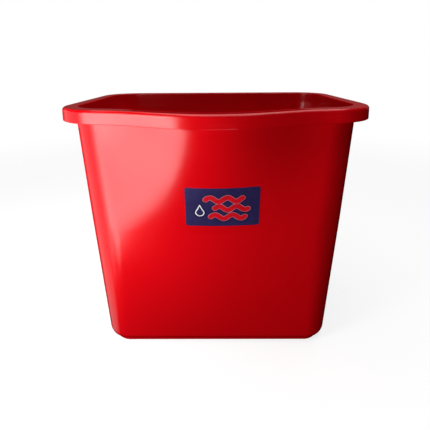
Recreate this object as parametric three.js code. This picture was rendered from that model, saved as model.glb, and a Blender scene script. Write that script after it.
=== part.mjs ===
import * as THREE from 'three';

// An open, tapered plastic tub with a turned-down rim, and the printed label on its front.
// Millimetres, +Z up. The bowed front faces -Y and the flat back faces +Y. The origin is
// on the surface that the tub stands on, under the middle of its overall length and width.

// Overall sizes
const overallWidth = 356;
const overallDepth = 286; // flat back of the rim to the crown of the bowed front
const overallHeight = 310;

// Walls
const wallThickness = 2.8;
const floorThickness = 3;
const creaseHeight = 168.5; // the level where the walls change slope
const upperDraft = 2.6; // degrees, from the crease up to the rim
const lowerDraft = 5.4; // degrees, from the crease down to the base
const bottomFillet = 10; // outside, where the walls turn in to the base
const filletTurn = 73; // degrees, how far that fillet has turned where it meets the foot

// Rim: a flat flange with a skirt that hangs clear of the wall
const rimOverhang = 14.6; // from the wall's outside to the skirt's outside
const rimThickness = 2.5;
const skirtHeight = 15;
const outerEdgeRadius = 3.5;
const innerEdgeRadius = 1.2;
const skirtLip = 0.6; // small chamfer along the skirt's lower edge

// How far the front bulges in the middle, and the angle that its ends still have where they
// meet the corners, at the rim and at the crease; at the base the front is flat
const rimBow = 38;
const rimBowEnd = 7; // degrees
const creaseBow = 10.4;
const creaseBowEnd = 6.5; // degrees

// Corner radii in plan, front and back
const rimRadii = { front: 59, back: 49 };
const creaseRadii = { front: 50, back: 45 };
const baseRadii = { front: 29.5, back: 32.5 };

// Foot ring under the base, and the round gate mark in the middle of the underside
const footHeight = 6.8; // where the bottom fillet ends on it
const footStep = 0.8; // how far the ring stands back from the end of the bottom fillet
const footWidth = 7;
const footEdgeRadius = 4; // the ring's outer lower edge
const footChamfer = 0.6; // its inner lower edge
const gateRadius = 11;
const gateDepth = 0.8;

// Label on the upper front wall
const labelWidth = 82;
const labelHeight = 50;
const labelThickness = 0.3;
const labelGap = 0.3; // stands for the adhesive film
const labelCornerRadius = 2.5;
const labelAboveCrease = 10.7; // from the crease to the label's lower edge, up the wall
const labelOffset = 7.5; // the label sits a little to the right of the middle

// How finely the curves are stepped
const bowSteps = 16; // each half of the front
const cornerSteps = 8;
const straightSteps = 3;
const filletSteps = 4;
const wallSteps = 4;
const labelColumns = 12;
const labelRows = 6;

const radians = THREE.MathUtils.degToRad;

// Levels and insets that follow from the sizes above
const skirtBottom = overallHeight - skirtHeight;
const flangeUnderside = overallHeight - rimThickness;
const filletCentre = footHeight + bottomFillet * Math.sin( radians( filletTurn ) );
const filletTop = filletCentre - bottomFillet * Math.sin( radians( lowerDraft ) );
const filletInset = bottomFillet * Math.cos( radians( lowerDraft ) );
const undersideHeight = filletCentre - bottomFillet; // the sheet of the underside
const floorTop = undersideHeight + floorThickness;
const creaseInset = rimOverhang + ( skirtBottom - creaseHeight ) * Math.tan( radians( upperDraft ) );
const baseInset = creaseInset + ( creaseHeight - filletTop ) * Math.tan( radians( lowerDraft ) );
const footInset = filletInset - bottomFillet * Math.cos( radians( filletTurn ) ) + footStep;

// One level's outline, anticlockwise from the middle of the front: each point has its place
// (x, y) and its outward direction (nx, ny). inset is measured from the rim's outside. The bow
// is a parabola, which gives its ends their angle, and half a cosine wave for the rest of it.
function outline( inset, radii, bow, bowEnd ) {

	const halfWidth = overallWidth / 2 - inset;
	const back = overallDepth / 2 - inset;
	const shoulder = rimBow - overallDepth / 2 + inset;
	const endAngle = radians( bowEnd );
	const span = halfWidth - radii.front * ( 1 - Math.sin( endAngle ) );
	const parabola = span / 2 * Math.tan( endAngle );
	const wave = bow - parabola;
	const half = [];

	for ( let i = 0; i < bowSteps; i ++ ) {

		const share = i / bowSteps;
		const phase = Math.PI * share;
		const y = shoulder - bow + wave * ( 1 - Math.cos( phase ) ) / 2 + parabola * share * share;
		const slope = ( wave * Math.PI / 2 * Math.sin( phase ) + 2 * parabola * share ) / span;
		const length = Math.hypot( slope, 1 );
		half.push( { x: span * share, y, nx: slope / length, ny: - 1 / length } );

	}

	const sideStart = shoulder + radii.front * Math.cos( endAngle );
	const sideEnd = back - radii.back;
	addCorner( half, halfWidth - radii.front, sideStart, radii.front, endAngle - Math.PI / 2, 0 );
	for ( let i = 1; i < straightSteps; i ++ ) {

		half.push( { x: halfWidth, y: sideStart + ( sideEnd - sideStart ) * i / straightSteps, nx: 1, ny: 0 } );

	}

	addCorner( half, halfWidth - radii.back, sideEnd, radii.back, 0, Math.PI / 2 );
	for ( let i = 1; i <= straightSteps; i ++ ) {

		half.push( { x: ( halfWidth - radii.back ) * ( 1 - i / straightSteps ), y: back, nx: 0, ny: 1 } );

	}

	const otherHalf = half.slice( 1, - 1 ).reverse().map( ( p ) => ( { ...p, x: - p.x, nx: - p.nx } ) );
	return [ ...half, ...otherHalf ];

}

function addCorner( points, centreX, centreY, radius, startAngle, endAngle ) {

	for ( let i = 0; i <= cornerSteps; i ++ ) {

		const angle = THREE.MathUtils.lerp( startAngle, endAngle, i / cornerSteps );
		const nx = Math.cos( angle );
		const ny = Math.sin( angle );
		points.push( { x: centreX + radius * nx, y: centreY + radius * ny, nx, ny } );

	}

}

// The three outlines that shape the walls; everything else is set in or out from them
const rimOutline = outline( 0, rimRadii, rimBow, rimBowEnd );
const creaseOutline = outline( creaseInset, creaseRadii, creaseBow, creaseBowEnd );
const baseOutline = outline( baseInset, baseRadii, 0, 0 );

function ring( points, inset, z ) {

	return points.map( ( p ) => new THREE.Vector3( p.x - p.nx * inset, p.y - p.ny * inset, z ) );

}

// Rings of the straight-ruled wall between two rings, without the first one
function ruledRings( from, to, steps ) {

	const rings = [];
	for ( let step = 1; step <= steps; step ++ ) {

		rings.push( from.map( ( point, i ) => point.clone().lerp( to[ i ], step / steps ) ) );

	}

	return rings;

}

// Directions in the wall's section, in degrees round from inwards
const upwards = 90;
const outwards = 180;
const downwards = 270;
const squareToWall = outwards + lowerDraft;

// Rings along an arc in the wall's section, from one of those directions to another
function arcRings( points, centreInset, centreZ, radius, from, to ) {

	const rings = [];
	for ( let step = 0; step <= filletSteps; step ++ ) {

		const angle = radians( THREE.MathUtils.lerp( from, to, step / filletSteps ) );
		rings.push( ring( points, centreInset + radius * Math.cos( angle ), centreZ + radius * Math.sin( angle ) ) );

	}

	return rings;

}

// A circle with one point for each point of the outlines, about the middle of the base
const baseCentreY = ( baseOutline[ 0 ].y + overallDepth / 2 - baseInset ) / 2;

function circleRing( radius, z ) {

	return baseOutline.map( ( p ) => {

		const angle = Math.atan2( p.y - baseCentreY, p.x );
		return new THREE.Vector3( radius * Math.cos( angle ), baseCentreY + radius * Math.sin( angle ), z );

	} );

}

// Joins rings into one closed skin, with a flat fan in the first and the last of them
function closedSkin( rings, firstCentre, lastCentre ) {

	const count = rings[ 0 ].length;
	const vertices = [ ...rings.flat(), firstCentre, lastCentre ];
	const first = vertices.length - 2;
	const last = vertices.length - 1;
	const faces = [];

	for ( let i = 0; i < count; i ++ ) {

		const next = ( i + 1 ) % count;
		faces.push( first, next, i );
		for ( let row = 0; row < rings.length - 1; row ++ ) {

			const low = row * count;
			const high = low + count;
			faces.push( low + i, low + next, high + next, low + i, high + next, high + i );

		}

		const lastRow = ( rings.length - 1 ) * count;
		faces.push( lastRow + i, lastRow + next, last );

	}

	const geometry = new THREE.BufferGeometry().setFromPoints( vertices );
	geometry.setIndex( faces );
	geometry.computeVertexNormals();
	return geometry;

}

// The moulding: underside, foot, outside wall, rim, inside wall and floor in one run of rings
function tubGeometry() {

	const footInner = footInset + footWidth;
	const outerBase = ring( baseOutline, 0, filletTop );
	const outerCrease = ring( creaseOutline, 0, creaseHeight );
	const outerTop = ring( rimOutline, rimOverhang, skirtBottom );
	const flangeInner = rimOverhang + wallThickness;
	const innerTop = ring( rimOutline, flangeInner, skirtBottom );
	const innerCrease = ring( creaseOutline, wallThickness, creaseHeight );
	const innerFillet = bottomFillet - wallThickness;
	const innerFilletInset = wallThickness + innerFillet * Math.cos( radians( lowerDraft ) );
	const innerFilletCentre = floorTop + innerFillet;
	const innerBottom = arcRings(
		baseOutline, innerFilletInset, innerFilletCentre, innerFillet, squareToWall, downwards,
	);
	const footEdgeInset = footInset + footEdgeRadius;
	const rimEdgeCentre = overallHeight - outerEdgeRadius;
	const filletEnd = outwards + filletTurn;

	const rings = [
		circleRing( gateRadius - gateDepth, undersideHeight + gateDepth ),
		circleRing( gateRadius, undersideHeight ),
		ring( baseOutline, footInner, undersideHeight ),
		ring( baseOutline, footInner, footChamfer ),
		ring( baseOutline, footInner - footChamfer, 0 ),
		...arcRings( baseOutline, footEdgeInset, footEdgeRadius, footEdgeRadius, downwards, outwards ),
		ring( baseOutline, footInset, footHeight ),
		...arcRings( baseOutline, filletInset, filletCentre, bottomFillet, filletEnd, squareToWall ),
		...ruledRings( outerBase, outerCrease, wallSteps ),
		...ruledRings( outerCrease, outerTop, wallSteps ),
		ring( rimOutline, rimOverhang, flangeUnderside ),
		ring( rimOutline, rimThickness, flangeUnderside ),
		ring( rimOutline, rimThickness, skirtBottom + skirtLip ),
		ring( rimOutline, rimThickness - skirtLip, skirtBottom ),
		ring( rimOutline, skirtLip, skirtBottom ),
		ring( rimOutline, 0, skirtBottom + skirtLip ),
		...arcRings( rimOutline, outerEdgeRadius, rimEdgeCentre, outerEdgeRadius, outwards, upwards ),
		ring( rimOutline, flangeInner - innerEdgeRadius, overallHeight ),
		ring( rimOutline, flangeInner, overallHeight - innerEdgeRadius ),
		innerTop,
		...ruledRings( innerTop, innerCrease, wallSteps ),
		...ruledRings( innerCrease, innerBottom[ 0 ], wallSteps ),
		...innerBottom.slice( 1 ),
		circleRing( gateRadius, floorTop ),
	];
	return closedSkin(
		rings,
		new THREE.Vector3( 0, baseCentreY, undersideHeight + gateDepth ),
		new THREE.Vector3( 0, baseCentreY, floorTop ),
	);

}

// A point on the outside of the upper front wall, for a sideways place and a height: the
// level's own front is stepped between its crease and rim points until it passes the place
function frontWall( x, z ) {

	const up = ( z - creaseHeight ) / ( skirtBottom - creaseHeight );
	const low = ring( creaseOutline, 0, creaseHeight );
	const high = ring( rimOutline, rimOverhang, skirtBottom );
	const level = low.slice( 0, bowSteps + 1 ).map( ( point, i ) => point.lerp( high[ i ], up ) );
	const index = level.findIndex( ( point ) => point.x > Math.abs( x ) );
	const before = level[ index - 1 ];
	const after = level[ index ];
	const share = ( Math.abs( x ) - before.x ) / ( after.x - before.x );
	return new THREE.Vector3( x, THREE.MathUtils.lerp( before.y, after.y, share ), z );

}

// The same wall, moved out along its own normal
function offFrontWall( x, z, distance ) {

	const reach = 1;
	const across = frontWall( x + reach, z ).sub( frontWall( x - reach, z ) );
	const up = frontWall( x, z + reach ).sub( frontWall( x, z - reach ) );
	const normal = across.cross( up ).normalize();
	return frontWall( x, z ).addScaledVector( normal, distance );

}

// The label's columns: its left to right places, each with half the height it has there
function labelOutline() {

	const columns = [];
	const straightHalf = labelWidth / 2 - labelCornerRadius;
	for ( let i = 0; i <= filletSteps; i ++ ) {

		const angle = Math.PI / 2 * i / filletSteps;
		columns.push( {
			x: - straightHalf - labelCornerRadius * Math.cos( angle ),
			half: labelHeight / 2 - labelCornerRadius * ( 1 - Math.sin( angle ) ),
		} );

	}

	for ( let i = 1; i < labelColumns; i ++ ) {

		columns.push( { x: straightHalf * ( 2 * i / labelColumns - 1 ), half: labelHeight / 2 } );

	}

	const rightEnd = columns.slice( 0, filletSteps + 1 ).reverse().map( ( c ) => ( { ...c, x: - c.x } ) );
	return [ ...columns, ...rightEnd ];

}

// A thin sheet that follows the curve of the wall
function labelGeometry() {

	const columns = labelOutline();
	const lean = Math.atan2( rimBow - creaseBow + creaseInset - rimOverhang, skirtBottom - creaseHeight );
	const middle = creaseHeight + ( labelAboveCrease + labelHeight / 2 ) * Math.cos( lean );
	const rows = labelRows + 1;
	const sheet = ( distance ) => columns.flatMap( ( { x, half } ) => Array.from( { length: rows }, ( _, row ) => {

		const z = middle + half * ( 2 * row / labelRows - 1 ) * Math.cos( lean );
		return offFrontWall( x + labelOffset, z, distance );

	} ) );

	const vertices = [ ...sheet( labelGap + labelThickness ), ...sheet( labelGap ) ];
	const backStart = columns.length * rows;
	const faces = [];
	for ( let column = 0; column < columns.length - 1; column ++ ) {

		for ( let row = 0; row < labelRows; row ++ ) {

			const a = column * rows + row;
			const b = a + rows;
			faces.push( a, b, b + 1, a, b + 1, a + 1 );
			faces.push( backStart + a, backStart + b + 1, backStart + b );
			faces.push( backStart + a, backStart + a + 1, backStart + b + 1 );

		}

	}

	const edge = [];
	for ( let column = 0; column < columns.length; column ++ ) edge.push( column * rows );
	for ( let row = 1; row < rows; row ++ ) edge.push( ( columns.length - 1 ) * rows + row );
	for ( let column = columns.length - 2; column >= 0; column -- ) edge.push( column * rows + labelRows );
	for ( let row = labelRows - 1; row > 0; row -- ) edge.push( row );
	edge.forEach( ( a, i ) => {

		const b = edge[ ( i + 1 ) % edge.length ];
		faces.push( a, backStart + a, backStart + b, a, backStart + b, b );

	} );

	const geometry = new THREE.BufferGeometry().setFromPoints( vertices );
	geometry.setIndex( faces );
	geometry.computeVertexNormals();
	return geometry;

}

const redPlastic = new THREE.MeshStandardMaterial( { color: 0xc40610, roughness: 0.38, metalness: 0 } );
const printedFilm = new THREE.MeshStandardMaterial( { color: 0x2a2250, roughness: 0.45, metalness: 0 } );

function namedMesh( name, geometry, material ) {

	const mesh = new THREE.Mesh( geometry, material );
	mesh.name = name;
	return mesh;

}

const tub = new THREE.Group();
tub.add( namedMesh( 'tub', tubGeometry(), redPlastic ) );
tub.add( namedMesh( 'front_label', labelGeometry(), printedFilm ) );

export default tub;
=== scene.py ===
import math

import bpy
import numpy as np
from mathutils import Matrix, Vector


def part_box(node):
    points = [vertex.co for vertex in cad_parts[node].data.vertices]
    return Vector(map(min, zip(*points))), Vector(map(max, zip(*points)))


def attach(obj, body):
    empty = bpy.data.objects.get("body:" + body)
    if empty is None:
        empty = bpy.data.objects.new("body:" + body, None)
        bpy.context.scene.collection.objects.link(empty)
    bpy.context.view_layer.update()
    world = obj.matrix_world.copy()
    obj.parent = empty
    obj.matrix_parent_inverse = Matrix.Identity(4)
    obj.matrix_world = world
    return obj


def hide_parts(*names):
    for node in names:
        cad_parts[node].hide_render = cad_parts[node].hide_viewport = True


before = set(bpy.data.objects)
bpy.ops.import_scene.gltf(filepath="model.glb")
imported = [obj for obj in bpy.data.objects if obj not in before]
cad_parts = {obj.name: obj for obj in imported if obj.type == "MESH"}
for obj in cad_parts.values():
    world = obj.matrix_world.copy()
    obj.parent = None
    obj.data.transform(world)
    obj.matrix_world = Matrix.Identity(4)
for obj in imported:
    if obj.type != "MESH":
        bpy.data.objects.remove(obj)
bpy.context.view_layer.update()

tubLow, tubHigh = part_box("tub")
labelLow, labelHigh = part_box("front_label")
mm = 0.001
mergeReach = 0.004 * mm  # points closer than this are one point
print("frame: the tub is", " x ".join(f"{size / mm:.0f}" for size in tubHigh - tubLow), "mm")


# Node helpers. An input takes a plain value or the output socket of another node.
def addNode(tree, kind, inputs=None, **settings):
    node = tree.nodes.new(kind)
    for name, value in settings.items():
        setattr(node, name, value)
    for key, value in (inputs or {}).items():
        if isinstance(value, bpy.types.NodeSocket):
            tree.links.new(value, node.inputs[key])
        else:
            node.inputs[key].default_value = value
    return node


def calc(tree, operation, *values):
    return addNode(tree, "ShaderNodeMath", dict(enumerate(values)), operation=operation).outputs[0]


def vectorCalc(tree, operation, *values):
    return addNode(tree, "ShaderNodeVectorMath", dict(enumerate(values)), operation=operation).outputs[0]


def scaled(tree, vector, factor):
    return addNode(tree, "ShaderNodeVectorMath", {0: vector, "Scale": factor}, operation="SCALE").outputs[0]


def blended(tree, share, start, end):
    step = scaled(tree, vectorCalc(tree, "SUBTRACT", end, start), share)
    return vectorCalc(tree, "ADD", start, step)


# A geometry tree with named inputs; returns it with its inputs by name and its output node
def geometryTree(name, **inputs):
    tree = bpy.data.node_groups.new(name, "GeometryNodeTree")
    tree.interface.new_socket("Geometry", in_out="INPUT", socket_type="NodeSocketGeometry")
    for key, kind in inputs.items():
        tree.interface.new_socket(key, in_out="INPUT", socket_type="NodeSocket" + kind)
    tree.interface.new_socket("Geometry", in_out="OUTPUT", socket_type="NodeSocketGeometry")
    group = tree.nodes.new("NodeGroupInput")
    return tree, {socket.name: socket for socket in group.outputs}, tree.nodes.new("NodeGroupOutput")


def merged(tree, geometry):
    slots = {"Geometry": geometry, "Distance": mergeReach}
    return addNode(tree, "GeometryNodeMergeByDistance", slots).outputs[0]


def smoothed(tree, geometry):
    return addNode(tree, "GeometryNodeSetShadeSmooth", {"Geometry": geometry}).outputs[0]


def finishTree(tree, geometry, material, out):
    real = addNode(tree, "GeometryNodeRealizeInstances", {"Geometry": geometry}).outputs[0]
    done = addNode(tree, "GeometryNodeSetMaterial", {"Geometry": real, "Material": material})
    tree.links.new(done.outputs[0], out.inputs[0])


def newObject(name, mesh):
    made = bpy.data.objects.new(name, mesh)
    bpy.context.scene.collection.objects.link(made)
    return made


# Runs a geometry tree on an object and keeps the result as the object's own plain mesh
def applyTree(piece, tree, **values):
    modifier = piece.modifiers.new(tree.name, "NODES")
    modifier.node_group = tree
    for item in tree.interface.items_tree:
        if item.in_out == "INPUT" and item.name in values:
            modifier[item.identifier] = values[item.name]
    bpy.context.view_layer.update()
    evaluated = piece.evaluated_get(bpy.context.evaluated_depsgraph_get())
    guide = piece.data
    piece.data = bpy.data.meshes.new_from_object(evaluated)
    piece.data.name = piece.name
    piece.modifiers.remove(modifier)
    bpy.data.meshes.remove(guide)
    return piece


# A mesh of loose points that carries numbers for a tree to sample
def guideObject(name, **attributes):
    mesh = bpy.data.meshes.new(name)
    mesh.vertices.add(len(next(iter(attributes.values()))))
    for key, values in attributes.items():
        values = np.asarray(values, np.float32)
        isVector = values.ndim == 2
        layer = mesh.attributes.new(key, "FLOAT_VECTOR" if isVector else "FLOAT", "POINT")
        layer.data.foreach_set("vector" if isVector else "value", values.ravel())
    return newObject(name, mesh)


# Materials
def principled(name, slots):
    material = bpy.data.materials.new(name)
    material.use_nodes = True
    tree = material.node_tree
    shader = tree.nodes["Principled BSDF"]
    for key, value in slots.items():
        shader.inputs[key].default_value = value
    place = addNode(tree, "ShaderNodeTexCoord").outputs["Object"]
    return material, tree, shader, place


def noise(tree, place, scale, detail=2.0, roughness=0.5, stretch=None):
    if stretch:
        place = vectorCalc(tree, "MULTIPLY", place, stretch)
    slots = {"Vector": place, "Scale": scale, "Detail": detail, "Roughness": roughness}
    return addNode(tree, "ShaderNodeTexNoise", slots).outputs["Fac"]


def ranged(tree, value, fromLow, fromHigh, toLow, toHigh):
    slots = {"Value": value, 1: fromLow, 2: fromHigh, 3: toLow, 4: toHigh}
    return addNode(tree, "ShaderNodeMapRange", slots, interpolation_type="SMOOTHSTEP").outputs["Result"]


def mixed(tree, share, start, end):
    node = addNode(tree, "ShaderNodeMix", {"Factor": share}, data_type="RGBA")
    for key, value in (("A", start), ("B", end)):
        socket = next(s for s in node.inputs if s.name == key and s.type == "RGBA")
        if isinstance(value, bpy.types.NodeSocket):
            tree.links.new(value, socket)
        else:
            socket.default_value = (*value, 1)
    return next(s for s in node.outputs if s.type == "RGBA")


def bumped(tree, shader, height, distance, strength):
    slots = {"Height": height, "Distance": distance, "Strength": strength}
    tree.links.new(addNode(tree, "ShaderNodeBump", slots).outputs["Normal"], shader.inputs["Normal"])


redPlasticLook = {
    "red": (0.62, 0.0015, 0.005),
    "deepRed": (0.59, 0.0012, 0.0045),
    "scuffed": (0.70, 0.035, 0.04),
    "darkSpeck": (0.16, 0.0, 0.0),
    "ior": 1.48,
    "roughness": 0.2,
    "roughnessSpread": 0.02,
    "cloudScale": 9.0,
    "patchScale": 24.0,
    "streakScale": 55.0,
    "streakStretch": (0.35, 0.35, 2.4),
    "edgeWear": 0.06,
    "rubbedShare": 0.1,
    "rubbedRoughness": 0.08,
    "specksEvery": 34 * mm,
    "speckRadius": 0.55 * mm,
    "speckShare": 0.16,
    "darkSpeckShare": 0.7,
    "grainSize": 0.9 * mm,
    "rippleScale": 60.0,
    "rippleShare": 0.8,
    "bumpHeight": 0.05 * mm,
    "bumpStrength": 0.35,
}


def redPlasticMaterial():
    look = redPlasticLook
    material, tree, shader, place = principled("redPlastic", {"IOR": look["ior"]})

    clouds = ranged(tree, noise(tree, place, look["cloudScale"]), 0.35, 0.65, 0.0, 1.0)
    colour = mixed(tree, clouds, look["red"], look["deepRed"])

    # rubbed places: short sideways streaks, gathered on the rim's edge and the crease
    streaks = noise(
        tree, place, look["streakScale"], detail=5.0, roughness=0.65, stretch=look["streakStretch"],
    )
    worn = addNode(tree, "ShaderNodeAttribute", attribute_name="wear").outputs["Fac"]
    rubbing = calc(tree, "ADD", streaks, calc(tree, "MULTIPLY", worn, look["edgeWear"]))
    rubbed = ranged(tree, rubbing, 0.66, 0.82, 0.0, 1.0)
    colour = mixed(tree, calc(tree, "MULTIPLY", rubbed, look["rubbedShare"]), colour, look["scuffed"])

    # specks moulded into the skin, some pale and some dark, in one cell out of three
    cells = addNode(tree, "ShaderNodeTexVoronoi", {"Vector": place, "Scale": 1 / look["specksEvery"]})
    reach = look["speckRadius"] / look["specksEvery"]
    near = ranged(tree, cells.outputs["Distance"], reach * 0.6, reach, 1.0, 0.0)
    pick = addNode(tree, "ShaderNodeSeparateColor", {"Color": cells.outputs["Color"]}).outputs["Red"]
    pale = calc(tree, "MULTIPLY", near, calc(tree, "GREATER_THAN", pick, 1 - look["speckShare"]))
    dark = calc(tree, "MULTIPLY", near, calc(tree, "LESS_THAN", pick, look["speckShare"]))
    colour = mixed(tree, pale, colour, look["scuffed"])
    colour = mixed(tree, calc(tree, "MULTIPLY", dark, look["darkSpeckShare"]), colour, look["darkSpeck"])
    tree.links.new(colour, shader.inputs["Base Color"])

    patches = noise(tree, place, look["patchScale"], detail=4.0)
    low = look["roughness"] - look["roughnessSpread"]
    high = look["roughness"] + look["roughnessSpread"]
    roughness = ranged(tree, patches, 0.3, 0.7, low, high)
    roughness = calc(tree, "ADD", roughness, calc(tree, "MULTIPLY", rubbed, look["rubbedRoughness"]))
    tree.links.new(roughness, shader.inputs["Roughness"])

    # the mould's fine spark-eroded grain over a slow ripple in the skin
    grain = noise(tree, place, 1 / look["grainSize"])
    ripple = calc(tree, "MULTIPLY", noise(tree, place, look["rippleScale"]), look["rippleShare"])
    bumped(tree, shader, calc(tree, "ADD", grain, ripple), look["bumpHeight"], look["bumpStrength"])
    return material


# Each ink's full colour, its thin colour and its roughness
inkLook = {
    "navy": ((0.026, 0.020, 0.085), (0.020, 0.015, 0.070), 0.34),
    "shadowNavy": ((0.010, 0.007, 0.030), (0.008, 0.006, 0.026), 0.36),
    "red": ((0.62, 0.006, 0.014), (0.52, 0.004, 0.012), 0.36),
    "pale": ((0.33, 0.20, 0.30), (0.28, 0.16, 0.26), 0.40),
    "white": ((0.80, 0.80, 0.84), (0.70, 0.70, 0.76), 0.40),
}


inkTexture = {
    "ior": 1.46,
    "patchScale": 160.0,
    "sheenScale": 70.0,
    "sheenSpread": (-0.04, 0.05),
    "grainScale": 900.0,
    "grainHeight": 0.02 * mm,
    "grainStrength": 0.3,
}


def inkMaterial(name):
    full, thin, roughness = inkLook[name]
    texture = inkTexture
    material, tree, shader, place = principled(name + "Ink", {"IOR": texture["ior"]})
    patchy = ranged(tree, noise(tree, place, texture["patchScale"], detail=4.0), 0.35, 0.7, 0.0, 1.0)
    tree.links.new(mixed(tree, patchy, full, thin), shader.inputs["Base Color"])
    sheen = noise(tree, place, texture["sheenScale"], detail=3.0)
    low, high = (roughness + spread for spread in texture["sheenSpread"])
    tree.links.new(ranged(tree, sheen, 0.3, 0.7, low, high), shader.inputs["Roughness"])
    grain = noise(tree, place, texture["grainScale"])
    bumped(tree, shader, grain, texture["grainHeight"], texture["grainStrength"])
    return material


# The moulding's sizes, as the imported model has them; its overall sizes come from the frame
tub = {
    "wall": 2.8 * mm,
    "floor": 3 * mm,
    "creaseHeight": 168.5 * mm,
    "creaseSoftness": 1.8 * mm,  # half the height over which the wall bends
    "upperDraft": math.radians(2.6),
    "lowerDraft": math.radians(5.4),
    "bottomFillet": 10 * mm,
    "filletTurn": math.radians(73),
    "rimOverhang": 14.6 * mm,
    "rimThickness": 2.5 * mm,
    "skirtHeight": 15 * mm,
    "outerEdge": 3.5 * mm,
    "innerEdge": 1.2 * mm,
    "channelFillet": 1.5 * mm,
    "lipRadius": 0.6 * mm,
    "rim": {"bow": 38 * mm, "bowEnd": math.radians(7), "front": 59 * mm, "back": 49 * mm},
    "crease": {"bow": 10.4 * mm, "bowEnd": math.radians(6.5), "front": 50 * mm, "back": 45 * mm},
    "base": {"bow": 0.0, "bowEnd": 0.0, "front": 29.5 * mm, "back": 32.5 * mm},
    "footHeight": 6.8 * mm,
    "footStep": 0.8 * mm,
    "footWidth": 7 * mm,
    "footEdge": 4 * mm,
    "footInnerEdge": 0.6 * mm,
    "footFillet": 0.5 * mm,
    "gateRadius": 11 * mm,
    "gateDepth": 0.8 * mm,
    "sprueRadius": 1.4 * mm,
    "sprueClearance": 0.2 * mm,  # from the sprue's tip to the underside's plane
    "waviness": 0.22 * mm,
    "waveLength": 95 * mm,
    "waveFade": 40 * mm,  # the waves die out this close to a wall's ends
    "seed": 7,
    "bowSteps": 56,
    "cornerSteps": 20,
    "sideSteps": 12,
    "backSteps": 14,
}

width, depth, height = tubHigh - tubLow
middle = (tubLow + tubHigh) / 2
skirtBottom = height - tub["skirtHeight"]
filletCentre = tub["footHeight"] + tub["bottomFillet"] * math.sin(tub["filletTurn"])
filletTop = filletCentre - tub["bottomFillet"] * math.sin(tub["lowerDraft"])
underside = filletCentre - tub["bottomFillet"]
floorTop = underside + tub["floor"]
creaseInset = tub["rimOverhang"] + (skirtBottom - tub["creaseHeight"]) * math.tan(tub["upperDraft"])
baseInset = creaseInset + (tub["creaseHeight"] - filletTop) * math.tan(tub["lowerDraft"])


# One level's outline, anticlockwise from the middle of the front, with its outward directions.
# Its inset from the rim's outside sets its size, and the ring is then taken in by setIn. The
# front's bow is a parabola, which gives its ends their angle, and half a cosine wave.
def levelOutline(inset, level, setIn=0.0):
    halfWidth = width / 2 - inset
    back = depth / 2 - inset
    shoulder = tub["rim"]["bow"] - depth / 2 + inset
    bowEnd = level["bowEnd"]
    span = halfWidth - level["front"] * (1 - math.sin(bowEnd))
    parabola = math.tan(bowEnd) * span / 2
    wave = level["bow"] - parabola
    places, outwards = [], []
    for share in np.linspace(0, 1, tub["bowSteps"], endpoint=False):
        slope = (wave * math.pi / 2 * math.sin(math.pi * share) + 2 * parabola * share) / span
        rise = wave * (1 - math.cos(math.pi * share)) / 2 + parabola * share ** 2
        places.append((span * share, shoulder - level["bow"] + rise))
        outwards.append((slope / math.hypot(slope, 1), -1 / math.hypot(slope, 1)))
    sideStart = shoulder + level["front"] * math.cos(bowEnd)
    sideEnd = back - level["back"]
    corners = (
        (sideStart, level["front"], bowEnd - math.pi / 2, 0),
        (sideEnd, level["back"], 0, math.pi / 2),
    )
    for y, radius, start, end in corners:
        for angle in np.linspace(start, end, tub["cornerSteps"] + 1):
            outwards.append((math.cos(angle), math.sin(angle)))
            places.append((halfWidth - radius + radius * outwards[-1][0], y + radius * outwards[-1][1]))
        if start < 0:
            for side in np.linspace(sideStart, sideEnd, tub["sideSteps"] + 1)[1:-1]:
                places.append((halfWidth, side))
                outwards.append((1, 0))
    for x in np.linspace(halfWidth - level["back"], 0, tub["backSteps"] + 1)[1:]:
        places.append((x, back))
        outwards.append((0, 1))
    places, outwards = np.array(places), np.array(outwards)
    places = np.vstack([places, places[-2:0:-1] * (-1, 1)])
    outwards = np.vstack([outwards, outwards[-2:0:-1] * (-1, 1)])
    flat = np.zeros((len(places), 1))
    return np.hstack([places - outwards * setIn + (middle.x, middle.y), flat]), np.hstack([outwards, flat])


topPlace, topOutward = levelOutline(0, tub["rim"], tub["rimOverhang"])
creasePlace, creaseOutward = levelOutline(creaseInset, tub["crease"])
basePlace, baseOutward = levelOutline(baseInset, tub["base"])
baseCentre = Vector((middle.x, (basePlace[:, 1].min() + basePlace[:, 1].max()) / 2, 0))


# The profile, one row for each ring. A ring lies on the crease's outline, shifted by its shares
# towards the base's or the top's. It is set in from there, or gathered to a circle.
profileKeys = ("height", "inset", "toBase", "toTop", "gather", "circle", "give", "wear")
profile = {key: [] for key in profileKeys}
level = {"toBase": 1.0, "toTop": 0.0, "give": 0.0, "wear": 0.0}


def addRing(inset, z, gather=0.0, circle=0.0):
    row = {"height": z, "inset": inset, "gather": gather, "circle": circle, **level}
    for key, value in row.items():
        profile[key].append(value)


def addArc(inset, z, radius, start, end, steps=5):
    for angle in np.radians(np.linspace(start, end, steps + 1)):
        addRing(inset + radius * math.cos(angle), z + radius * math.sin(angle))


# Rings between an outline and the middle of the base, going outwards or inwards
def addSheet(inset, z, circle, shares):
    for share in shares:
        addRing(inset, z, share, circle)


# The wall at one height: straight between the levels, with a parabola across each bend
def wallShares(z):
    soft = tub["creaseSoftness"]
    crease = tub["creaseHeight"]
    toBase = max(0.0, crease - z)
    toTop = max(0.0, z - crease)
    if abs(z - crease) < soft:
        toBase = (crease + soft - z) ** 2 / (4 * soft)
        toTop = (z - crease + soft) ** 2 / (4 * soft)
    toTop = toTop / (skirtBottom - crease)
    if abs(z - skirtBottom) < soft:
        toTop = 1 - (skirtBottom + soft - z) ** 2 / (4 * soft) / (skirtBottom - crease)
    return toBase / (crease - filletTop), min(1.0, toTop)


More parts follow.
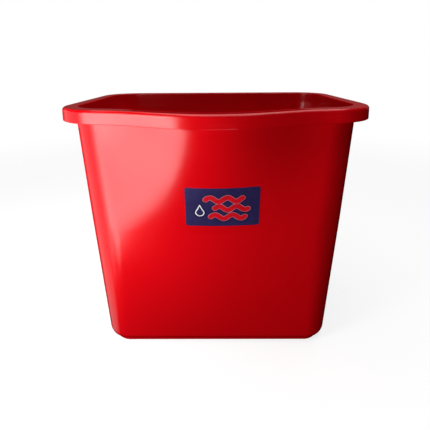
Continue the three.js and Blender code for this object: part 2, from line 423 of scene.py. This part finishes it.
def addWall(inset, heights):
    soft = tub["creaseSoftness"]
    for z in heights:
        level["toBase"], level["toTop"] = wallShares(z)
        fromEnds = min(z - filletTop, skirtBottom - z) / tub["waveFade"]
        level["give"] = max(0.0, min(1.0, fromEnds)) ** 2
        level["wear"] = max(0.0, 1 - abs(z - tub["creaseHeight"]) / (2 * soft))
        addRing(inset, z)
    level["give"] = level["wear"] = 0.0


# The walls' ring heights: closest at the bends, and widest apart between them
def wallHeights():
    soft = tub["creaseSoftness"]
    low, high = tub["creaseHeight"] - soft, tub["creaseHeight"] + soft
    stops = (filletTop, filletTop + 4 * mm, low - 2 * mm, low, high, high + 2 * mm)
    stops += (skirtBottom - soft, skirtBottom + soft)
    counts = (2, 17, 2, 10, 2, 17, 6)
    spans = zip(stops, stops[1:], counts)
    heights = [np.linspace(start, end, count, endpoint=False) for start, end, count in spans]
    return np.append(np.concatenate(heights), stops[-1])


def addUnderside():
    recess = underside + tub["gateDepth"]
    sprue = tub["sprueRadius"]
    gate = tub["gateRadius"]
    bend = tub["bottomFillet"]
    filletInset = bend * math.cos(tub["lowerDraft"])
    footOuter = filletInset - bend * math.cos(tub["filletTurn"]) + tub["footStep"]
    footInner = footOuter + tub["footWidth"]
    fillet, edge, inner = tub["footFillet"], tub["footEdge"], tub["footInnerEdge"]
    tip = underside + tub["sprueClearance"]
    stub = ((0, tip), (0.7 * sprue, tip), (0.9 * sprue, tip + 0.12 * mm), (sprue, recess - 0.1 * mm))
    for circle, z in stub:
        addRing(0, z, 1, circle)
    for circle in (1.2 * sprue, 2 * sprue, gate - 3 * fillet):
        addRing(0, recess, 1, circle)
    for angle in np.radians(np.linspace(0, 180, 9)):
        z = underside + tub["gateDepth"] * (1 + math.cos(angle)) / 2
        addRing(0, z, 1, gate + fillet * (angle / math.pi - 1))
    addSheet(footInner + 3 * fillet, underside, gate + 1.5 * mm, (1, 0.8, 0.6, 0.4, 0.2, 0))
    addArc(footInner + fillet, underside - fillet, fillet, 90, 180, 4)
    addArc(footInner - inner, inner, inner, 0, -90, 4)
    addArc(footOuter + edge, edge, edge, -90, -180, 8)
    addArc(footOuter - fillet / 2, tub["footHeight"] - fillet / 2, fillet / 2, 0, 90, 3)
    squareToWall = math.degrees(tub["lowerDraft"]) - 180
    addArc(filletInset, filletCentre, bend, math.degrees(tub["filletTurn"]) - 180, squareToWall, 14)


# The rim: up the wall into the channel, out, down inside the skirt, round its lip and over
def addRim():
    over = tub["rimOverhang"]
    fillet, lip = tub["channelFillet"], tub["lipRadius"]
    roof = height - tub["rimThickness"]
    skirtInside = tub["rimThickness"] - over
    edge, inner = tub["outerEdge"], tub["innerEdge"]
    level["toBase"], level["toTop"] = 0.0, 1.0
    addArc(-fillet, roof - fillet, fillet, 0, 90, 4)
    addRing(-over / 2, roof)
    addArc(skirtInside + fillet, roof - fillet, fillet, 90, 180, 4)
    addRing(skirtInside, (roof + skirtBottom) / 2)
    level["wear"] = 0.6
    addArc(skirtInside - lip, skirtBottom + lip, lip, 0, -90, 4)
    addArc(lip - over, skirtBottom + lip, lip, -90, -180, 4)
    level["wear"] = 0.0
    for share in (0.12, 0.3, 0.5, 0.7, 0.88):
        addRing(-over, skirtBottom + lip + share * (tub["skirtHeight"] - lip - edge))
    level["wear"] = 1.0
    addArc(edge - over, height - edge, edge, 180, 90, 10)
    level["wear"] = 0.25
    for share in (0.08, 0.3, 0.5, 0.7, 0.92):
        addRing(edge - over + share * (tub["wall"] - inner + over - edge), height)
    level["wear"] = 1.0
    addArc(tub["wall"] - inner, height - inner, inner, 90, 0, 5)
    level["wear"] = 0.0
    for share in (0.15, 0.5, 0.85):
        addRing(tub["wall"], height - inner - share * (tub["skirtHeight"] - inner - tub["creaseSoftness"]))


def addFloor():
    bend = tub["bottomFillet"] - tub["wall"]
    centre = tub["wall"] + bend * math.cos(tub["lowerDraft"])
    addArc(centre, floorTop + bend, bend, 180 + math.degrees(tub["lowerDraft"]), 270, 12)
    addSheet(centre + 2 * mm, floorTop, tub["gateRadius"], (0, 0.2, 0.4, 0.6, 0.8, 1))
    for circle in (tub["gateRadius"] / 2, 0):
        addRing(0, floorTop, 1, circle)


# The loft: a grid whose columns go round and whose rows are the profile's rings
def loftTree():
    tree, given, out = geometryTree(
        "tubLoft", Outline="Object", Profile="Object", Around="Int", Rings="Int", Centre="Vector",
        Waviness="Float", WaveLength="Float", Seed="Float", Material="Material",
    )
    columns = calc(tree, "ADD", given["Around"], 1.0)
    grid = addNode(tree, "GeometryNodeMeshGrid", {"Vertices X": columns, "Vertices Y": given["Rings"]})
    index = addNode(tree, "GeometryNodeInputIndex").outputs["Index"]
    ringIndex = calc(tree, "MODULO", index, given["Rings"])
    columnIndex = calc(tree, "FLOOR", calc(tree, "DIVIDE", calc(tree, "ADD", index, 0.5), given["Rings"]))
    columnIndex = calc(tree, "MODULO", columnIndex, given["Around"])

    guides = {}
    for key in ("Outline", "Profile"):
        info = addNode(tree, "GeometryNodeObjectInfo", {"Object": given[key]})
        guides[key] = info.outputs["Geometry"]

    def sample(guide, name, kind, at):
        read = addNode(tree, "GeometryNodeInputNamedAttribute", {"Name": name}, data_type=kind)
        slots = {"Geometry": guides[guide], "Value": read.outputs["Attribute"], "Index": at}
        return addNode(tree, "GeometryNodeSampleIndex", slots, data_type=kind).outputs["Value"]

    row = {key: sample("Profile", key, "FLOAT", ringIndex) for key in profile}
    mixes = []
    for word in ("Place", "Outward"):
        levels = {
            key: sample("Outline", key + word, "FLOAT_VECTOR", columnIndex)
            for key in ("top", "crease", "base")
        }
        shift = scaled(tree, vectorCalc(tree, "SUBTRACT", levels["base"], levels["crease"]), row["toBase"])
        other = scaled(tree, vectorCalc(tree, "SUBTRACT", levels["top"], levels["crease"]), row["toTop"])
        mixes.append(vectorCalc(tree, "ADD", levels["crease"], vectorCalc(tree, "ADD", shift, other)))
    place, outward = mixes[0], vectorCalc(tree, "NORMALIZE", mixes[1])
    place = vectorCalc(tree, "SUBTRACT", place, scaled(tree, outward, row["inset"]))
    ray = vectorCalc(tree, "NORMALIZE", vectorCalc(tree, "SUBTRACT", place, given["Centre"]))
    onCircle = vectorCalc(tree, "ADD", given["Centre"], scaled(tree, ray, row["circle"]))
    place = blended(tree, row["gather"], place, onCircle)
    up = addNode(tree, "ShaderNodeCombineXYZ", {"Z": row["height"]}).outputs[0]
    place = vectorCalc(tree, "ADD", place, up)

    # slow waves in the walls, the same inside and outside so that the wall keeps its thickness
    scale = calc(tree, "DIVIDE", 1.0, given["WaveLength"])
    slots = {"Vector": place, "W": given["Seed"], "Scale": scale, "Detail": 1.0}
    waves = addNode(tree, "ShaderNodeTexNoise", slots, noise_dimensions="4D").outputs["Fac"]
    swing = calc(tree, "MULTIPLY", given["Waviness"], 2.0)
    swell = calc(tree, "MULTIPLY", calc(tree, "SUBTRACT", waves, 0.5), swing)
    push = calc(tree, "MULTIPLY", swell, row["give"])
    place = vectorCalc(tree, "ADD", place, scaled(tree, outward, push))

    slots = {"Geometry": grid.outputs["Mesh"], "Name": "wear", "Value": row["wear"]}
    worn = addNode(tree, "GeometryNodeStoreNamedAttribute", slots, data_type="FLOAT")
    shaped = addNode(tree, "GeometryNodeSetPosition", {"Geometry": worn.outputs[0], "Position": place})
    finishTree(tree, smoothed(tree, merged(tree, shaped.outputs[0])), given["Material"], out)
    return tree


def makeTub(material):
    addUnderside()
    addWall(0.0, wallHeights()[1:])
    addRim()
    addWall(tub["wall"], wallHeights()[::-1][:-1])
    level["toBase"], level["toTop"] = 1.0, 0.0
    addFloor()
    outlineGuide = guideObject(
        "outlineGuide", topPlace=topPlace, topOutward=topOutward, creasePlace=creasePlace,
        creaseOutward=creaseOutward, basePlace=basePlace, baseOutward=baseOutward,
    )
    profileGuide = guideObject("profileGuide", **profile)
    piece = newObject("moulded_tub", bpy.data.meshes.new("tubStart"))
    applyTree(
        piece, loftTree(), Outline=outlineGuide, Profile=profileGuide, Around=len(topPlace),
        Rings=len(profile["height"]), Centre=baseCentre, Waviness=tub["waviness"],
        WaveLength=tub["waveLength"], Seed=float(tub["seed"]), Material=material,
    )
    for guide in (outlineGuide, profileGuide):
        bpy.data.objects.remove(guide)
    return piece


redPlastic = redPlasticMaterial()
tubPiece = makeTub(redPlastic)
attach(tubPiece, "root")
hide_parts("tub")
print(f"tub: {len(profile['height'])} rings of {len(topPlace)}, {len(tubPiece.data.polygons)} faces")


# The label and its print are flat shapes that the tree lays on the wall. Their sizes and places
# are in millimetres from the label's middle; the thicknesses and distances with mm are metres.
label = {
    "width": 82,
    "height": 50,
    "corner": 2.5,
    "filmThickness": 0.24 * mm,
    "inkThickness": 0.06 * mm,
    "clearance": 0.02 * mm,  # from the wall to the back of the film
    "sharpAngle": math.radians(40),
    "castFrom": 100 * mm,  # how far in front of the tub the flat shapes start
    "shadowMargin": 1.7,
    "paleMargin": 0.55,
    "strokeHalf": 2.9,
    "waveHeight": 2.6,
    "waveLength": 19.0,
    "waves": ((-18.5, 21.5, 10.6), (-8.5, 27.5, -0.6), (-13.0, 24.5, -12.0)),  # left, right, middle
    "drop": {
        "at": (-25.0, -6.5),
        "radius": 5.2,
        "tail": 0.95,
        "tailSharpness": 6,
        "narrowing": 0.35,
        "line": 1.15,
    },
}


# A grid of rows of points, laid flat in front of the wall and scaled to metres
def flatShape(rows):
    points = np.array(rows, float)
    columns, across = points.shape[:2]
    leaning = (labelHigh.z - labelLow.z) / label["height"]
    centre = ((labelLow.x + labelHigh.x) / 2, (labelLow.z + labelHigh.z) / 2)
    flat = points.reshape(-1, 2)
    ahead = tubLow.y - label["castFrom"]
    vertices = [(centre[0] + u * mm, ahead, centre[1] + v * leaning) for u, v in flat]
    faces = []
    for column in range(columns - 1):
        for row in range(across - 1):
            first = column * across + row
            faces.append((first, first + across, first + across + 1, first + 1))
    mesh = bpy.data.meshes.new("flatShape")
    mesh.from_pydata(vertices, [], faces)
    return mesh


def filmRows():
    halfHeight, corner = label["height"] / 2, label["corner"]
    straight = label["width"] / 2 - corner
    turns = np.radians(np.linspace(0, 90, 9))
    columns = [(-straight - corner * math.cos(a), halfHeight - corner * (1 - math.sin(a))) for a in turns]
    columns += [(x, halfHeight) for x in np.linspace(-straight, straight, 42)[1:]]
    columns += [(-x, half) for x, half in columns[7::-1]]
    return [[(x, half * share) for share in np.linspace(-1, 1, 25)] for x, half in columns]


# A round-ended stroke along a wave; its width is twice the given half all the way
def waveRows(left, right, middleHeight, half):
    def centreLine(x):
        turn = 2 * math.pi * (x - left) / label["waveLength"]
        rise = label["waveHeight"] * math.sin(turn)
        slope = label["waveHeight"] * 2 * math.pi / label["waveLength"] * math.cos(turn)
        return Vector((x, middleHeight + rise)), Vector((1, slope)).normalized()

    rows = []
    stations = [(left, -math.cos(a), math.sin(a)) for a in np.radians(np.linspace(0, 90, 9))]
    stations += [(x, 0.0, 1.0) for x in np.linspace(left, right, 60)[1:-1]]
    stations += [(right, math.cos(a), math.sin(a)) for a in np.radians(np.linspace(90, 0, 9))]
    for x, ahead, share in stations:
        at, along = centreLine(x)
        centre = at + along * ahead * half
        aside = Vector((-along.y, along.x)) * half * share
        rows.append([centre + aside * side for side in np.linspace(-1, 1, 9)])
    return rows


# A water drop: a circle whose top is drawn up to a soft point
def dropRows(grow):
    drop = label["drop"]
    radius = drop["radius"] + grow
    rows = []
    for turn in np.linspace(2 * math.pi, 0, 73):
        upward = max(0.0, math.cos(turn))
        pull = upward ** drop["tailSharpness"] * drop["tail"] * radius
        narrow = 1 - drop["narrowing"] * upward ** 2
        edge = Vector((radius * math.sin(turn) * narrow, radius * math.cos(turn) + pull))
        rows.append([Vector(drop["at"]) + edge * share for share in np.linspace(0, 1, 7)])
    return rows


# Lays a flat shape on the wall in front of it, gives it its thickness and closes it
def filmTree():
    tree, given, out = geometryTree(
        "wallFilm", Wall="Object", Lift="Float", Thickness="Float", SharpAngle="Float", Material="Material",
    )
    wall = addNode(tree, "GeometryNodeObjectInfo", {"Object": given["Wall"]}).outputs["Geometry"]
    slots = {"Target Geometry": wall, "Ray Direction": (0, 1, 0), "Ray Length": 1.0}
    hit = addNode(tree, "GeometryNodeRaycast", slots)
    raised = scaled(tree, hit.outputs["Hit Normal"], given["Lift"])
    place = vectorCalc(tree, "ADD", hit.outputs["Hit Position"], raised)
    laid = addNode(tree, "GeometryNodeSetPosition", {"Geometry": given["Geometry"], "Position": place})
    sheet = merged(tree, laid.outputs[0])
    slots = {"Mesh": sheet, "Offset Scale": given["Thickness"], "Individual": False}
    front = addNode(tree, "GeometryNodeExtrudeMesh", slots, mode="FACES").outputs["Mesh"]
    back = addNode(tree, "GeometryNodeFlipFaces", {"Mesh": sheet}).outputs[0]
    both = tree.nodes.new("GeometryNodeJoinGeometry")
    for part in (front, back):
        tree.links.new(part, both.inputs[0])
    closed = smoothed(tree, merged(tree, both.outputs[0]))
    bend = addNode(tree, "GeometryNodeInputMeshEdgeAngle").outputs["Unsigned Angle"]
    slots = {0: bend, 1: given["SharpAngle"]}
    sharp = addNode(tree, "FunctionNodeCompare", slots, operation="GREATER_THAN").outputs[0]
    slots = {"Geometry": closed, "Name": "sharp_edge", "Value": sharp}
    edged = addNode(tree, "GeometryNodeStoreNamedAttribute", slots, data_type="BOOLEAN", domain="EDGE")
    finishTree(tree, edged.outputs[0], given["Material"], out)
    return tree


# Lays shapes on the wall as one piece: layer 0 is the film, and the inks lie on it
def layShapes(name, shapes, material, layer, tree):
    vertices, faces = [], []
    for rows in shapes:
        mesh = flatShape(rows)
        start = len(vertices)
        vertices += [tuple(vertex.co) for vertex in mesh.vertices]
        faces += [tuple(start + index for index in face.vertices) for face in mesh.polygons]
        bpy.data.meshes.remove(mesh)
    mesh = bpy.data.meshes.new(name)
    mesh.from_pydata(vertices, [], faces)
    thickness = label["inkThickness"] if layer else label["filmThickness"]
    below = label["filmThickness"] + (layer - 1) * label["inkThickness"] if layer else 0.0
    piece = newObject(name, mesh)
    applyTree(
        piece, tree, Wall=tubPiece, Lift=below + label["clearance"], Thickness=thickness,
        SharpAngle=label["sharpAngle"], Material=material,
    )
    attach(piece, "root")
    return piece


def waveStrokes(margin):
    return [waveRows(left, right, at, label["strokeHalf"] + margin) for left, right, at in label["waves"]]


inks = {name: inkMaterial(name) for name in inkLook}
printTree = filmTree()
labelFilm = layShapes("label_film", [filmRows()], inks["navy"], 0, printTree)
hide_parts("front_label")
shadowShapes = waveStrokes(label["shadowMargin"]) + [dropRows(label["shadowMargin"])]
layShapes("label_shadow_print", shadowShapes, inks["shadowNavy"], 1, printTree)
layShapes("label_pale_print", waveStrokes(label["paleMargin"]), inks["pale"], 2, printTree)
layShapes("label_white_print", [dropRows(0)], inks["white"], 2, printTree)
layShapes("label_red_print", waveStrokes(0), inks["red"], 3, printTree)
layShapes("label_drop_print", [dropRows(-label["drop"]["line"])], inks["navy"], 3, printTree)
print("label: film and", len(inks), "inks laid on the front wall")


# Studio: a soft lamp overhead, a pale floor, and glowing sheets that stand round the tub. Each
# sheet is seen either by matt surfaces only or by glossy ones only, and never by the camera. A
# sheet may reach below the floor, because only the camera sees the floor.
studio = {
    "overhead": {"at": (0.1, 0.05, 1.3), "size": (1.5, 1.5), "glow": 2.0},
    "sheets": {
        "key": {"at": (-0.42, -0.3315, 0.25), "size": (0.4, 0.11), "glow": 30.0, "seenBy": "diffuse"},
        "front": {"at": (0.06, -0.56, 0.15), "size": (0.3, 0.06), "glow": 15.0, "seenBy": "diffuse"},
        "panelEdge": {"at": (-0.67, -0.3315, 0.0), "size": (0.3, 0.6), "glow": 2.0, "seenBy": "glossy"},
        "side": {
            "at": (-0.9, 0.06, -0.15), "size": (0.78, 1.3), "along": "Y", "glow": 0.7, "seenBy": "glossy",
        },
        "wingLeft": {"at": (-2.45, 2.5, 2.5), "size": (3.4, 5), "glow": 0.07, "seenBy": "glossy"},
        "wingRight": {"at": (2.45, 2.5, 2.5), "size": (3.4, 5), "glow": 0.07, "seenBy": "glossy"},
    },
    "panel": {
        "y": -0.3315,
        "left": -0.52,
        "right": (-0.24, -0.2245, -0.29),  # one for each height
        "heights": (0.42, 0.06, -0.115),
        "glow": 5.6,
    },
    "floorGlow": 0.78,
    "floorShade": 0.32,
    "floorFade": (0.33, 1.65),  # from the shaded floor near the tub to plain white
    "floorRadius": 7.0,
    "domeRadius": 9.0,
}


def addOverheadLamp(at, size, glow):
    data = bpy.data.lights.new("overhead", "AREA")
    data.shape = "RECTANGLE"
    data.size, data.size_y = size
    data.energy = math.pi * size[0] * size[1] * glow
    lamp = newObject("overhead", data)
    lamp.location = at
    lamp.visible_camera = False


def glowMaterial(name, glow):
    material = bpy.data.materials.new(name)
    material.use_nodes = True
    tree = material.node_tree
    tree.nodes.clear()
    emission = addNode(tree, "ShaderNodeEmission", {"Color": (1, 1, 1, 1), "Strength": glow})
    addNode(tree, "ShaderNodeOutputMaterial", {"Surface": emission.outputs[0]})
    return material


def addGlowSheet(name, corners, glow, seenBy):
    mesh = bpy.data.meshes.new(name)
    mesh.from_pydata(corners, [], [range(len(corners))])
    mesh.materials.append(glowMaterial(name, glow))
    sheet = newObject(name, mesh)
    for ray in ("camera", "diffuse", "glossy", "transmission", "volume_scatter", "shadow"):
        setattr(sheet, "visible_" + ray, ray == seenBy)


# Corners of an upright sheet that runs along the X or the Y axis
def uprightCorners(at, size, along):
    side = Vector((size[0] / 2, 0, 0)) if along == "X" else Vector((0, size[0] / 2, 0))
    up = Vector((0, 0, size[1] / 2))
    return [Vector(at) - side - up, Vector(at) + side - up, Vector(at) + side + up, Vector(at) - side + up]


# The bright panel whose reflection fills the left of the front: its right edge is bent
def addPanel():
    panel = studio["panel"]
    heights = panel["heights"]
    corners = [(x, panel["y"], z) for x, z in zip(panel["right"], heights)]
    corners += [(panel["left"], panel["y"], z) for z in (heights[-1], heights[0])]
    addGlowSheet("panel", corners, panel["glow"], "glossy")


# A white sphere round everything, seen by nothing but the camera
def addBackdrop():
    bpy.ops.mesh.primitive_uv_sphere_add(segments=48, ring_count=24, radius=studio["domeRadius"])
    dome = bpy.context.object
    dome.name = "backdrop"
    dome.data.materials.append(glowMaterial("backdrop", 1.0))
    for ray in ("diffuse", "glossy", "transmission", "volume_scatter", "shadow"):
        setattr(dome, "visible_" + ray, False)


def addFloorDisc():
    bpy.ops.mesh.primitive_circle_add(vertices=128, radius=studio["floorRadius"], fill_type="NGON")
    floor = bpy.context.object
    floor.name = "floor"
    material = bpy.data.materials.new("paleFloor")
    material.use_nodes = True
    tree = material.node_tree
    tree.nodes.clear()
    place = addNode(tree, "ShaderNodeTexCoord").outputs["Object"]
    away = addNode(tree, "ShaderNodeVectorMath", {0: place}, operation="LENGTH").outputs["Value"]
    near = ranged(tree, away, *studio["floorFade"], 1.0, 0.0)
    shade = mixed(tree, near, (0, 0, 0), (studio["floorShade"],) * 3)
    glow = mixed(tree, near, (1, 1, 1), (studio["floorGlow"],) * 3)
    diffuse = addNode(tree, "ShaderNodeBsdfDiffuse", {"Color": shade})
    emission = addNode(tree, "ShaderNodeEmission", {"Color": glow})
    both = addNode(tree, "ShaderNodeAddShader", {0: diffuse.outputs[0], 1: emission.outputs[0]})
    addNode(tree, "ShaderNodeOutputMaterial", {"Surface": both.outputs[0]})
    floor.data.materials.append(material)
    floor.visible_shadow = False
    floor.visible_glossy = False
    floor.visible_diffuse = False


def setTheStage():
    world = bpy.data.worlds.new("studio")
    world.use_nodes = True
    world.node_tree.nodes["Background"].inputs["Strength"].default_value = 0.0
    bpy.context.scene.world = world
    bpy.context.scene.view_settings.view_transform = "Standard"
    addOverheadLamp(**studio["overhead"])
    for name, sheet in studio["sheets"].items():
        corners = uprightCorners(sheet["at"], sheet["size"], sheet.get("along", "X"))
        addGlowSheet(name, corners, sheet["glow"], sheet["seenBy"])
    addPanel()
    addFloorDisc()
    addBackdrop()


camera = {
    "lens": 29.3,  # millimetres, on a 36 mm sensor
    "at": (0.0021, -0.4626, 0.3531),
    "pitchDown": math.radians(11),
    "turn": math.radians(0.38),
    "tilt": math.radians(-0.37),
    "shift": -0.186,
}


def addCamera():
    data = bpy.data.cameras.new("camera")
    data.lens = camera["lens"]
    data.sensor_width = 36
    data.shift_y = camera["shift"]
    data.clip_start, data.clip_end = 0.01, 50
    made = newObject("camera", data)
    raised = math.pi / 2 - camera["pitchDown"]
    aim = Matrix.Rotation(camera["turn"], 4, "Z") @ Matrix.Rotation(raised, 4, "X")
    made.matrix_world = Matrix.Translation(camera["at"]) @ aim @ Matrix.Rotation(camera["tilt"], 4, "Z")
    bpy.context.scene.camera = made


setTheStage()
addCamera()
print("studio: the lights, a pale floor and the camera")
